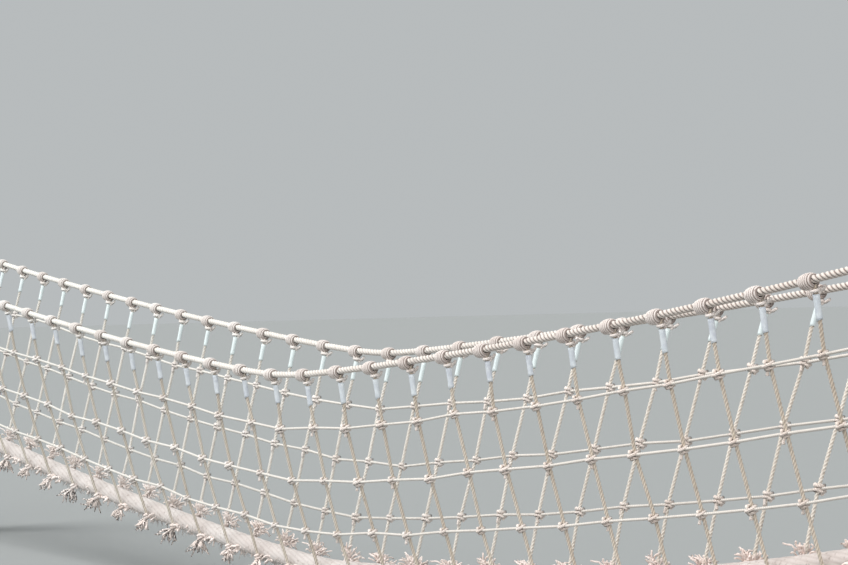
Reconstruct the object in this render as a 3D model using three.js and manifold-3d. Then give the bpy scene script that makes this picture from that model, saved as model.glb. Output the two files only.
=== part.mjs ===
// Rope footbridge with a V section: one thick foot rope and two handrail ropes between timber end
// posts. On each side a net of hangers and three long lines joins the handrail to the foot rope.
// Millimetres, +X along the walkway, +Y across it, +Z up. The origin lies under the middle of the
// span, on the level of the post feet.

import * as THREE from 'three';
import { mergeVertices } from 'three/addons/utils/BufferGeometryUtils.js';
import Module from 'manifold-3d';

const wasm = await Module();
wasm.setup();

// Span: hangers stand at every bay, and the posts one bay past the last hanger
const BAY = 360;
const HANGERS_EACH_WAY = 16;
const HALF_SPAN = BAY * (HANGERS_EACH_WAY + 1);

// Sag of all the long ropes: part of it is the straight V of a loaded rope, the rest its own curve
const SAG = 641;
const V_SHARE = 0.657;
const V_ROUNDING = 0.0565;

// Section: heights over the post feet, and half the distance between the handrails. Both handrails
// are tied at the same height, but the back one is tighter and hangs higher in the middle.
const FOOT_ROPE_LOW = 230;
const HAND_HEIGHT = 1050;
const BACK_RAIL_HIGHER = 94;
const RAIL_HALF_MIDDLE = 295;
const RAIL_HALF_END = 363;

// The right half of the foot rope is slack: how far it hangs below the handrails' curve there
const FOOT_DIP = 65;

// Rope sizes, and where the three lines cross a hanger as shares of its height
const RAIL_RADIUS = 16;
const FOOT_RADIUS = 47;
const HANGER_RADIUS = 9;
const LINE_RADIUS = 7;
const LINE_SHARES = [0.269, 0.526, 0.785];

// The hitch that ties a hanger to its handrail: several turns, a little to the left of the hanger
const HITCH_HALF = 27;
const HITCH_LENGTH = 88;
const HITCH_SHIFT = -35;
const HITCH_HANGER_TOP = 24;
const HITCH_GAP = 0.8;

// The plastic sleeve on a hanger, under the hitch
const SLEEVE_END = 165;
const SLEEVE_INSIDE = 30;
const SLEEVE_RADIUS_TOP = 14;
const SLEEVE_RADIUS_LOW = 16;

// The seizing and frayed tuft where a hanger ends at the foot rope
const SEIZING_LENGTH = 52;
const SEIZING_DEPTH = 26;
const SEIZING_HEIGHT = 44;
const TUFT_LENGTH = 95;
const TUFT_RADIUS = 28;
const TUFT_SPREAD = 0.5;

// Front hangers end a little under the middle of the foot rope's side, and back ones over it
const SEAT_STEP = 30;

// Front and back hangers take turns along the foot rope. The front ones lean a little to the left,
// and the back ones more to the right, with their hitches set a little wider apart than their ends.
const FRONT_SHIFT = -30;
const FRONT_LEAN = -20;
const BACK_SHIFT = 36;
const BACK_LEAN = 88;
const BACK_SPREAD = 1.018;

// A slack hanger bows outward and to the left, most of all at the middle of its length
const BOW_OUT = 16;
const BOW_ALONG = -27;

// End frames
const POST_RADIUS = 80;
const POST_OVER_RAIL = 130;
const SILL_RADIUS = 75;
const SILL_NOTCH = 20;
const SILL_PAST_POST = 100;
const RAIL_TURNS = 3;
const SPLICE_LENGTH = 280;
const SPLICE_RADIUS = 62;

// Mesh fineness, and the gap between pieces that touch
const GAP = 0.3;
const BAR_SIDES = 4;
const RAIL_SIDES = 8;
const FOOT_SIDES = 8;
const POST_SIDES = 16;
const TURN_SIDES = 12;
const LINE_TURN_SIDES = 8;
const RAIL_STEPS = 102;
const FOOT_STEPS = 52;

// How many hangers each stretch of a side's net holds, from left to right
const NET_PANELS = [4, 5, 5, 5, 5, 5, 4];
const SIDES = [['front', -1], ['back', 1]];
const ENDS = [['left', -1], ['right', 1]];

// World axes by number
const ALONG = 0;
const UP = 2;

const railRope = new THREE.MeshStandardMaterial({ color: 0xcfc2ab, roughness: 0.92, metalness: 0 });
const footRope = new THREE.MeshStandardMaterial({ color: 0xd8ccbd, roughness: 0.95, metalness: 0 });
const netRope = new THREE.MeshStandardMaterial({ color: 0xb9ab8f, roughness: 0.92, metalness: 0 });
const timber = new THREE.MeshStandardMaterial({ color: 0x8b7257, roughness: 0.85, metalness: 0 });

const bridge = new THREE.Group();

// How far a long rope has risen above its lowest point, at a place along the span
function rise(x) {
  const u = Math.abs(x) / HALF_SPAN;
  const vee = (Math.hypot(u, V_ROUNDING) - V_ROUNDING) / (Math.hypot(1, V_ROUNDING) - V_ROUNDING);
  return SAG * (V_SHARE * vee + (1 - V_SHARE) * u * u);
}

// How far the foot rope hangs below that curve
function footDip(x) {
  return FOOT_DIP * Math.sin(Math.PI * THREE.MathUtils.clamp(x / HALF_SPAN, 0, 1)) ** 2;
}

function footPoint(x) {
  return new THREE.Vector3(x, 0, FOOT_ROPE_LOW + rise(x) - footDip(x));
}

function railPoint(x, side) {
  const u = x / HALF_SPAN;
  const half = RAIL_HALF_MIDDLE + (RAIL_HALF_END - RAIL_HALF_MIDDLE) * u * u;
  const height = HAND_HEIGHT + (side * BACK_RAIL_HIGHER * (1 - u * u)) / 2;
  return new THREE.Vector3(x, side * half, FOOT_ROPE_LOW + rise(x) + height);
}

// The circle through the corners of a polygon that has the area of a round section
function cornerRadius(radius, sides) {
  return radius * Math.sqrt((2 * Math.PI) / (sides * Math.sin((2 * Math.PI) / sides)));
}

// The corner radius of a many-sided bore that just clears what it goes round
function boreRadius(radius, sides) {
  return (radius + GAP) / Math.cos(Math.PI / sides);
}

const railCorner = cornerRadius(RAIL_RADIUS, RAIL_SIDES);
const railFlat = railCorner * Math.cos(Math.PI / RAIL_SIDES);
const footCorner = cornerRadius(FOOT_RADIUS, FOOT_SIDES);
const footFlat = footCorner * Math.cos(Math.PI / FOOT_SIDES);

// The place where a hanger comes to the side of the foot rope
function footSeat(x, side) {
  const seat = footPoint(x);
  seat.y = side * (footFlat + GAP + SEIZING_DEPTH / 2);
  seat.z += side * SEAT_STEP;
  return seat;
}

// The place along the span where a hanger leaves its handrail
function hitchPlace(x, side) {
  return side < 0 ? x + FRONT_LEAN : x * BACK_SPREAD + BACK_LEAN;
}

// The line of a hanger down from the middle of its handrail. The foot rope's dip bends only the
// stretch under its last crossing, so the line aims at a seat on a foot rope without the dip.
function hangerCurve(x, side) {
  const rail = railPoint(hitchPlace(x, side), side);
  const seat = footSeat(x, side);
  seat.z += footDip(x);
  const bow = new THREE.Vector3(BOW_ALONG, side * BOW_OUT, 0);
  const control = rail.clone().lerp(seat, 0.5).addScaledVector(bow, 2);
  return new THREE.QuadraticBezierCurve3(rail, control, seat);
}

function hangerPoint(x, side, share) {
  return hangerCurve(x, side).getPoint(share);
}

// A stretch of a path, between two values of what its points are worked out from
class Stretch extends THREE.Curve {
  constructor(place, from, to) {
    super();
    this.place = place;
    this.from = from;
    this.to = to;
  }

  getPoint(t, target = new THREE.Vector3()) {
    return target.copy(this.place(THREE.MathUtils.lerp(this.from, this.to, t)));
  }
}

function solidOf(geometry) {
  const bare = geometry.clone();
  bare.deleteAttribute('normal');
  bare.deleteAttribute('uv');
  const merged = mergeVertices(bare, 1e-3);
  return new wasm.Manifold(new wasm.Mesh({
    numProp: 3,
    vertProperties: Float32Array.from(merged.attributes.position.array),
    triVerts: Uint32Array.from(merged.index.array),
  }));
}

function union(solids) {
  return solids.reduce((whole, next) => whole.add(next));
}

function addMesh(name, solid, material) {
  const { vertProperties, triVerts } = solid.getMesh();
  const geometry = new THREE.BufferGeometry();
  geometry.setAttribute('position', new THREE.BufferAttribute(vertProperties, 3));
  geometry.setIndex(new THREE.BufferAttribute(triVerts, 1));
  const mesh = new THREE.Mesh(geometry, material);
  mesh.name = name;
  bridge.add(mesh);
}

// A rope of even thickness swept along a path, with a flat towards +Y and -Y
function sweptRope(path, corner, sides, steps) {
  const corners = Array.from({ length: sides }, (_, i) => {
    const angle = (2 * Math.PI * (i + 0.5)) / sides;
    return new THREE.Vector2(corner * Math.cos(angle), corner * Math.sin(angle));
  });
  const section = new THREE.Shape(corners);
  return solidOf(new THREE.ExtrudeGeometry(section, { steps, extrudePath: path }));
}

// Turns a geometry that stands along +Y to lie from one point to another. It isn't rolled: one of
// its flats stays square to the world axis that lies most nearly across it.
function layBetween(geometry, from, to) {
  const along = to.clone().sub(from).normalize();
  const sizes = along.toArray().map(Math.abs);
  const across = new THREE.Vector3().setComponent(sizes.indexOf(Math.min(...sizes)), 1);
  const flat = along.clone().cross(across).normalize();
  const basis = new THREE.Matrix4().makeBasis(along.clone().cross(flat), along, flat);
  basis.setPosition(from.clone().lerp(to, 0.5));
  return solidOf(geometry.applyMatrix4(basis));
}

// A straight bar between two points, given by the corner radius of its two ends
function bar(from, to, cornerFrom, cornerTo = cornerFrom, sides = BAR_SIDES) {
  const length = from.distanceTo(to);
  const geometry = new THREE.CylinderGeometry(cornerTo, cornerFrom, length, sides);
  geometry.rotateY(Math.PI / sides);
  return layBetween(geometry, from, to);
}

// A square rope through points that are given in order along the world axis that it mostly
// follows: a box whose rings are moved onto the points and stay square to that axis
function ropeThrough(points, radius, axis) {
  const legs = points.length - 1;
  const across = radius * Math.sqrt(Math.PI);
  const size = new THREE.Vector3(across, across, across).setComponent(axis, legs);
  const cuts = new THREE.Vector3(1, 1, 1).setComponent(axis, legs);
  const geometry = new THREE.BoxGeometry(...size.toArray(), ...cuts.toArray());
  const { position } = geometry.attributes;
  const corner = new THREE.Vector3();
  for (let i = 0; i < position.count; i += 1) {
    corner.fromBufferAttribute(position, i);
    const ring = Math.round(corner.getComponent(axis) + legs / 2);
    corner.setComponent(axis, 0).add(points[ring]);
    position.setXYZ(i, ...corner.toArray());
  }
  return solidOf(geometry);
}

// A straight stretch of square bar with the section area of a round one
function ropeBar(from, to, radiusFrom, radiusTo = radiusFrom) {
  const corners = [radiusFrom, radiusTo].map((radius) => cornerRadius(radius, BAR_SIDES));
  return bar(from, to, ...corners);
}

function block(at, x, y, z) {
  const geometry = new THREE.BoxGeometry(x, y, z);
  geometry.translate(...at.toArray());
  return solidOf(geometry);
}

// A plain ring round something, lying along +Y, with flats towards +Z and -Z: the corner radii of
// its bore and its outside
function ringGeometry(bore, outside, length, sides) {
  const half = length / 2;
  const outline = [[bore, -half], [outside, -half], [outside, half], [bore, half], [bore, -half]];
  const points = outline.map((point) => new THREE.Vector2(...point));
  return new THREE.LatheGeometry(points, sides, Math.PI / sides);
}

// Turns of rope side by side round something that lies along +Y: one bulge for each turn
function turnsGeometry(bore, ropeRadius, turns, sides) {
  const half = ropeRadius * turns;
  const outline = [new THREE.Vector2(bore, -half), new THREE.Vector2(bore + ropeRadius, -half)];
  for (let i = 0; i < turns; i += 1) {
    const middle = -half + ropeRadius * (2 * i + 1);
    outline.push(new THREE.Vector2(bore + 2 * ropeRadius, middle));
    outline.push(new THREE.Vector2(bore + ropeRadius, middle + ropeRadius));
  }
  outline.push(new THREE.Vector2(bore, half), outline[0].clone());
  return new THREE.LatheGeometry(outline, sides);
}

function postCentre(end, side, height) {
  return new THREE.Vector3(end * HALF_SPAN, side * RAIL_HALF_END, height);
}

// Turns round a post at a height
function turnsOnPost(centre, ropeRadius, turns, sides) {
  const geometry = turnsGeometry(boreRadius(POST_RADIUS, sides), ropeRadius, turns, sides);
  geometry.rotateX(Math.PI / 2);
  geometry.translate(...centre.toArray());
  return solidOf(geometry);
}

// A handrail: one rope, with three turns round the post at each end
function buildHandrail(name, side) {
  const reach = HALF_SPAN - POST_RADIUS - GAP - RAIL_RADIUS;
  const path = new Stretch((x) => railPoint(x, side), -reach, reach);
  const pieces = [sweptRope(path, railCorner, RAIL_SIDES, RAIL_STEPS)];
  for (const [, end] of ENDS) {
    const centre = railPoint(end * HALF_SPAN, side);
    pieces.push(turnsOnPost(centre, RAIL_RADIUS, RAIL_TURNS, TURN_SIDES));
  }
  addMesh(name, union(pieces), railRope);
}

const SILL_X = HALF_SPAN + POST_RADIUS + SILL_RADIUS - SILL_NOTCH;
const SILL_Z = footPoint(SILL_X).z - SILL_RADIUS - GAP - footCorner;

// The foot rope: an eye round the sill log at each end, thicker where its strands are tucked back
function buildFootRope() {
  const path = new Stretch(footPoint, -SILL_X, SILL_X);
  const pieces = [sweptRope(path, footCorner, FOOT_SIDES, FOOT_STEPS)];
  for (const [, end] of ENDS) {
    const bore = boreRadius(SILL_RADIUS, TURN_SIDES);
    const eye = turnsGeometry(bore, FOOT_RADIUS, 1, TURN_SIDES);
    eye.translate(end * SILL_X, 0, SILL_Z);
    pieces.push(solidOf(eye));
    const throat = footPoint(end * (SILL_X - SILL_RADIUS));
    const tail = footPoint(end * (SILL_X - SILL_RADIUS - SPLICE_LENGTH));
    pieces.push(bar(tail, throat, FOOT_RADIUS, SPLICE_RADIUS, FOOT_SIDES));
  }
  addMesh('foot_rope', union(pieces), footRope);
}

function sillLog(end, radius) {
  const half = RAIL_HALF_END + POST_RADIUS + SILL_PAST_POST;
  const from = new THREE.Vector3(end * SILL_X, -half, SILL_Z);
  return bar(from, from.clone().setY(half), radius, radius, POST_SIDES);
}

// An end frame: two round posts, and a sill log that the foot rope pulls into their notches
function buildEndFrame(endName, end) {
  const top = railPoint(HALF_SPAN, 1).z + POST_OVER_RAIL;
  const notches = sillLog(end, SILL_RADIUS + GAP);
  for (const [sideName, side] of SIDES) {
    const foot = postCentre(end, side, 0);
    const post = bar(foot, foot.clone().setZ(top), POST_RADIUS, POST_RADIUS, POST_SIDES);
    addMesh(`${endName}_${sideName}_post`, post.subtract(notches), timber);
  }
  addMesh(`${endName}_sill_log`, sillLog(end, SILL_RADIUS), timber);
}

// The hitch round the handrail, as a square ring
function hitch(x, side) {
  const bore = (railFlat + HITCH_GAP) * Math.SQRT2;
  const ring = ringGeometry(bore, HITCH_HALF * Math.SQRT2, HITCH_LENGTH, BAR_SIDES);
  const [from, to] = [-1, 1].map((end) => {
    return railPoint(x + HITCH_SHIFT + (end * HITCH_LENGTH) / 2, side);
  });
  return layBetween(ring, from, to);
}

// One hanger: its hitch on the handrail, sleeve, seizing on the foot rope and frayed tuft
function hangerSolids(x, side) {
  const curve = hangerCurve(x, side);
  const [top, sleeveEnd, bareTop] = [HITCH_HANGER_TOP, SLEEVE_END, SLEEVE_END - SLEEVE_INSIDE].map(
    (distance) => curve.getPoint(distance / curve.getLength()),
  );
  const seat = footSeat(x, side);
  const crossings = LINE_SHARES.map((share) => curve.getPoint(share)).reverse();
  const tuftTip = new THREE.Vector3(0, side * TUFT_SPREAD, -1).setLength(TUFT_LENGTH).add(seat);
  return [
    hitch(hitchPlace(x, side), side),
    ropeBar(top, sleeveEnd, SLEEVE_RADIUS_TOP, SLEEVE_RADIUS_LOW),
    ropeThrough([seat, ...crossings, bareTop], HANGER_RADIUS, UP),
    block(seat, SEIZING_LENGTH, SEIZING_DEPTH, SEIZING_HEIGHT),
    ropeBar(seat, tuftTip, HANGER_RADIUS, TUFT_RADIUS),
  ];
}

// The middle of the turn that a long line takes round a post
function lineTurnCentre(end, side, share) {
  return postCentre(end, side, railPoint(HALF_SPAN, side).z - HAND_HEIGHT * share);
}

function lineTurn(end, side, share) {
  const bore = boreRadius(POST_RADIUS, LINE_TURN_SIDES);
  const turn = ringGeometry(bore, bore + 2 * LINE_RADIUS, 2 * LINE_RADIUS, LINE_TURN_SIDES);
  turn.rotateX(Math.PI / 2);
  turn.translate(...lineTurnCentre(end, side, share).toArray());
  return solidOf(turn);
}

// Where a stretch of a long line ends past a hanger: on its turn round the post, or half a bay
// away, where it passes to the next stretch
function lineTip(x, way, side, share) {
  const from = hangerPoint(x, side, share);
  if (Math.abs(x + way * BAY) > HALF_SPAN - BAY / 2) {
    const centre = lineTurnCentre(way, side, share);
    const outward = from.sub(centre).setZ(0).setLength(POST_RADIUS + GAP + LINE_RADIUS);
    return centre.add(outward);
  }
  return from.lerp(hangerPoint(x + way * BAY, side, share), 0.5 - GAP / 2 / BAY);
}

// A stretch of one side's net: some hangers with the stretches of the three lines that they carry
function buildNetPanel(name, side, first, last) {
  const count = last - first + 1;
  const places = Array.from({ length: count }, (_, i) => {
    return (first + i) * BAY + (side < 0 ? FRONT_SHIFT : BACK_SHIFT);
  });
  const solids = places.flatMap((x) => hangerSolids(x, side));
  for (const share of LINE_SHARES) {
    const tips = [lineTip(places[0], -1, side, share), lineTip(places[count - 1], 1, side, share)];
    const crossings = places.map((x) => hangerPoint(x, side, share));
    solids.push(ropeThrough([tips[0], ...crossings, tips[1]], LINE_RADIUS, ALONG));
    if (first === -HANGERS_EACH_WAY) solids.push(lineTurn(-1, side, share));
    if (last === HANGERS_EACH_WAY) solids.push(lineTurn(1, side, share));
  }
  addMesh(name, union(solids), netRope);
}

for (const [sideName, side] of SIDES) {
  buildHandrail(`${sideName}_handrail`, side);
  let first = -HANGERS_EACH_WAY;
  NET_PANELS.forEach((hangers, index) => {
    buildNetPanel(`${sideName}_net_${index + 1}`, side, first, first + hangers - 1);
    first += hangers;
  });
}
buildFootRope();
for (const [endName, end] of ENDS) {
  buildEndFrame(endName, end);
}

export default bridge;
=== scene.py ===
"""Looks of the rope footbridge: laid ropes, hitches, sleeves, knots, frayed ends and log end frames.

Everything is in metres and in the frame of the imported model. Each rope is a mesh of its own lay,
swept along the route that the solids take, and what repeats is made once and copied.
"""

import logging
import math
from dataclasses import dataclass, field
from enum import Enum

import bpy
import numpy as np
from mathutils import Matrix, Vector


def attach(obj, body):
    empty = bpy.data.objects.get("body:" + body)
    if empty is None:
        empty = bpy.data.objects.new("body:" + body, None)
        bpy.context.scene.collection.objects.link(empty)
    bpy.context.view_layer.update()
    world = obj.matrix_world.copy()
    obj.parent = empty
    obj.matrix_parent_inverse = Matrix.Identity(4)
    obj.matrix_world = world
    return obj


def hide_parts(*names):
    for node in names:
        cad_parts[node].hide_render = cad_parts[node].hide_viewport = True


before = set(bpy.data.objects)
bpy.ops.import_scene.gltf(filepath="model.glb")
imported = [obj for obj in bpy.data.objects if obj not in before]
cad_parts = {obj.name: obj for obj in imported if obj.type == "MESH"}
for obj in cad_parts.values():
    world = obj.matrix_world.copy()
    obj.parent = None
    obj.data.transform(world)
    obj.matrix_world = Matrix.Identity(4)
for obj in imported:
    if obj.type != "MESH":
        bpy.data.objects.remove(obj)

LOG = logging.getLogger("footbridge")
ROOT = "root"

Colour = tuple[float, float, float]
Point = tuple[float, float, float]
Range = tuple[float, float]
Taper = tuple[float, ...]


class Place(Enum):
    """One of two opposite places, each with its sign along an axis."""

    @property
    def word(self) -> str:
        """The place's name in the names of pieces."""
        return self.name.lower()


class Side(Place):
    """A side of the walkway, by the sign of its place across the bridge."""

    FRONT = -1
    BACK = 1


class End(Place):
    """An end of the bridge, by the sign of its place along it."""

    LEFT = -1
    RIGHT = 1


class Grain(Enum):
    """The axis that a log's grain follows, as an index."""

    ACROSS = 1
    UP = 2


# Routes


def unit(vectors: np.ndarray) -> np.ndarray:
    """Scales one vector, or each row of several, to a length of one."""
    return vectors / np.linalg.norm(vectors, axis=-1, keepdims=True)


def even_route(route: np.ndarray, step: float) -> tuple[np.ndarray, np.ndarray]:
    """Puts points at even distances along a route.

    Args:
        route: Points of the route, a row for each.
        step: Wanted distance between the new points.

    Returns:
        The new points, and how far along the route each one lies.
    """
    lengths = np.linalg.norm(np.diff(route, axis=0), axis=1)
    travelled = np.concatenate([[0.0], np.cumsum(lengths)])
    count = max(2, int(round(travelled[-1] / step)) + 1)
    places = np.linspace(0.0, travelled[-1], count)
    points = np.stack([np.interp(places, travelled, route[:, axis]) for axis in range(3)], axis=1)
    return points, places


def smooth_route(corners: np.ndarray | list | tuple, per_leg: int = 6) -> np.ndarray:
    """Runs a smooth curve through a few points.

    Args:
        corners: The points that the curve goes through.
        per_leg: Points on the stretch from one corner to the next.

    Returns:
        The points of the curve.
    """
    corners = np.asarray(corners, float)
    padded = np.concatenate([[2 * corners[0] - corners[1]], corners, [2 * corners[-1] - corners[-2]]])
    share = np.linspace(0.0, 1.0, per_leg, endpoint=False)[:, None]
    legs = []
    for a, b, c, d in zip(padded, padded[1:], padded[2:], padded[3:]):
        curve = 2 * b + (c - a) * share + (2 * a - 5 * b + 4 * c - d) * share**2
        legs.append((curve + (3 * b - a - 3 * c + d) * share**3) / 2)
    return np.concatenate([*legs, corners[-1:]])


def carried_frames(points: np.ndarray) -> tuple[np.ndarray, np.ndarray]:
    """Carries a cross frame along a route without letting it twist.

    Args:
        points: Points of the route.

    Returns:
        Two unit vectors square to the route at each point, right-handed with its direction.
    """
    along = unit(np.gradient(points, axis=0))
    start = np.eye(3)[np.argmin(np.abs(along[0]))]
    first = np.empty_like(along)
    first[0] = unit(np.cross(start, along[0]))
    for i in range(1, len(along)):
        carried = first[i - 1] - along[i] * (first[i - 1] @ along[i])
        first[i] = carried / math.sqrt(carried @ carried)
    return first, np.cross(along, first)


def place_matrix(origin: np.ndarray, along: np.ndarray, up: np.ndarray) -> np.ndarray:
    """Makes the matrix that puts a small piece at its place.

    Args:
        origin: Where the piece's origin goes.
        along: Where the piece's X axis points.
        up: Roughly where its Z axis points.

    Returns:
        A 4x4 matrix.
    """
    x = unit(along)
    y = unit(np.cross(up, x))
    matrix = np.eye(4)
    matrix[:3, :3] = np.stack([x, y, np.cross(x, y)], axis=1)
    matrix[:3, 3] = origin
    return matrix


@dataclass(frozen=True)
class Span:
    """The curves that all the long ropes share."""

    bay: float = 0.36
    hangers_each_way: int = 16
    sag: float = 0.641
    vee_share: float = 0.657
    vee_rounding: float = 0.0565
    foot_low: float = 0.23
    foot_dip: float = 0.065
    hand_height: float = 1.05
    back_rail_higher: float = 0.094
    rail_half_middle: float = 0.295
    rail_half_end: float = 0.363
    seat_out: float = 0.059
    seat_step: float = 0.03
    front_shift: float = -0.03
    front_lean: float = -0.02
    back_shift: float = 0.036
    back_lean: float = 0.088
    back_spread: float = 1.018
    bow_out: float = 0.016
    bow_along: float = -0.027

    @property
    def half(self) -> float:
        """Half the distance between the posts."""
        return self.bay * (self.hangers_each_way + 1)

    def rise(self, x: np.ndarray) -> np.ndarray:
        """Finds how far the ropes have risen above their lowest point.

        Args:
            x: Places along the span.

        Returns:
            The rise at each place.
        """
        share = np.abs(x) / self.half
        round_off = self.vee_rounding
        vee = (np.hypot(share, round_off) - round_off) / (math.hypot(1, round_off) - round_off)
        return self.sag * (self.vee_share * vee + (1 - self.vee_share) * share**2)

    def dip(self, x: np.ndarray) -> np.ndarray:
        """How far the slack right half of the foot rope hangs below the handrails' curve."""
        return self.foot_dip * np.sin(math.pi * np.clip(np.asarray(x) / self.half, 0, 1)) ** 2

    def foot(self, x: np.ndarray) -> np.ndarray:
        """Centre points of the foot rope at places along the span."""
        x = np.asarray(x, float)
        return np.stack([x, np.zeros_like(x), self.foot_low + self.rise(x) - self.dip(x)], axis=-1)

    def rail(self, x: np.ndarray, side: Side) -> np.ndarray:
        """Finds the centre points of a side's handrail.

        Args:
            x: Places along the span.
            side: The side of the walkway.

        Returns:
            A point for each place.
        """
        x = np.asarray(x, float)
        spread = (self.rail_half_end - self.rail_half_middle) * (x / self.half) ** 2
        level = 1 - (x / self.half) ** 2
        height = self.hand_height + side.value * self.back_rail_higher * level / 2
        y = side.value * (self.rail_half_middle + spread)
        return np.stack([x, y, self.foot_low + self.rise(x) + height], axis=-1)

    def seat(self, x: np.ndarray, side: Side) -> np.ndarray:
        """Finds the points at the side of the foot rope where the hangers end.

        Args:
            x: Places along the span.
            side: The side of the walkway.

        Returns:
            A point for each place.
        """
        points = self.foot(x)
        points[..., 1] = side.value * self.seat_out
        points[..., 2] += side.value * self.seat_step
        return points

    def hanger_places(self, side: Side) -> np.ndarray:
        """Places along the span where a side's hangers end at the foot rope."""
        steps = np.arange(-self.hangers_each_way, self.hangers_each_way + 1)
        return steps * self.bay + (self.front_shift if side is Side.FRONT else self.back_shift)

    def hitch_places(self, side: Side) -> np.ndarray:
        """Places along the span where a side's hangers leave the handrail."""
        places = self.hanger_places(side)
        return places + self.front_lean if side is Side.FRONT else places * self.back_spread + self.back_lean

    def bow(self, share: float, side: Side) -> np.ndarray:
        """How far a slack hanger bows off its straight run at a share of its length."""
        return 4 * share * (1 - share) * np.array([self.bow_along, side.value * self.bow_out, 0.0])


SPAN = Span()
POST_RADIUS = 0.08
SILL_RADIUS = 0.075
NOTCH_DEPTH = 0.02
CONTACT_GAP = 0.0003
FOOT_ROPE_SEAT = 0.0495
SILL_X = SPAN.half + POST_RADIUS + SILL_RADIUS - NOTCH_DEPTH
SILL_Z = float(SPAN.foot(SILL_X)[2]) - SILL_RADIUS - CONTACT_GAP - FOOT_ROPE_SEAT

UP = np.array([0.0, 0.0, 1.0])
ACROSS = np.array([0.0, 1.0, 0.0])


# Meshes

MIDDLE_TINT = 0.5
CROWN_ROUNDNESS = 2.2
CREVICE_SHARPNESS = 3


@dataclass
class Skin:
    """The surface of a small piece, with the marks that its finish reads."""

    points: np.ndarray
    faces: list[np.ndarray]
    uv: list[np.ndarray]
    crevice: np.ndarray
    tint: np.ndarray

    def placed(self, matrix: np.ndarray, tint: float | None = None) -> "Skin":
        """Copies the piece to another place.

        Args:
            matrix: 4x4 matrix of the place.
            tint: Shade of the copy from 0 to 1, or None to keep the piece's own.

        Returns:
            The copy.
        """
        points = self.points @ matrix[:3, :3].T + matrix[:3, 3]
        shades = self.tint if tint is None else np.full(len(points), tint)
        return Skin(points, self.faces, self.uv, self.crevice, shades)

    @staticmethod
    def joined(skins: list["Skin"]) -> "Skin":
        """Joins several pieces into one.

        Args:
            skins: The pieces.

        Returns:
            One piece that holds them all.
        """
        starts = np.cumsum([0] + [len(skin.points) for skin in skins])
        faces = [block + start for skin, start in zip(skins, starts) for block in skin.faces]
        return Skin(
            np.concatenate([skin.points for skin in skins]),
            faces,
            [block for skin in skins for block in skin.uv],
            np.concatenate([skin.crevice for skin in skins]),
            np.concatenate([skin.tint for skin in skins]),
        )

    @staticmethod
    def of_object(source: bpy.types.Object) -> "Skin":
        """Takes the surface of a modelled object and deletes the object.

        Args:
            source: A mesh object at the origin.

        Returns:
            Its surface.
        """
        mesh = source.data
        points = np.array([vertex.co for vertex in mesh.vertices])
        faces = [np.array([list(polygon.vertices)]) for polygon in mesh.polygons]
        uv = [np.zeros((*block.shape, 2)) for block in faces]
        bpy.data.objects.remove(source)
        bpy.data.meshes.remove(mesh)
        return Skin(points, faces, uv, np.zeros(len(points)), np.full(len(points), MIDDLE_TINT))

    def build(self, name: str) -> bpy.types.Object:
        """Makes the Blender object.

        Args:
            name: The object's name.

        Returns:
            The object, at the origin and shaded smooth.
        """
        mesh = bpy.data.meshes.new(name)
        mesh.vertices.add(len(self.points))
        mesh.vertices.foreach_set("co", self.points.ravel())
        corners = np.concatenate([block.ravel() for block in self.faces])
        mesh.loops.add(len(corners))
        mesh.loops.foreach_set("vertex_index", corners)
        sizes = np.concatenate([np.full(len(block), block.shape[1]) for block in self.faces])
        mesh.polygons.add(len(sizes))
        mesh.polygons.foreach_set("loop_start", np.cumsum(sizes) - sizes)
        mesh.polygons.foreach_set("use_smooth", np.ones(len(sizes), bool))
        mesh.update(calc_edges=True)
        layer = mesh.uv_layers.new(name="rope")
        layer.data.foreach_set("uv", np.concatenate([block.reshape(-1, 2) for block in self.uv]).ravel())
        for mark, values in (("crevice", self.crevice), ("tint", self.tint)):
            mesh.attributes.new(mark, "FLOAT", "POINT").data.foreach_set("value", values)
        mesh.validate()
        made = bpy.data.objects.new(name, mesh)
        bpy.context.collection.objects.link(made)
        return made


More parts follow.
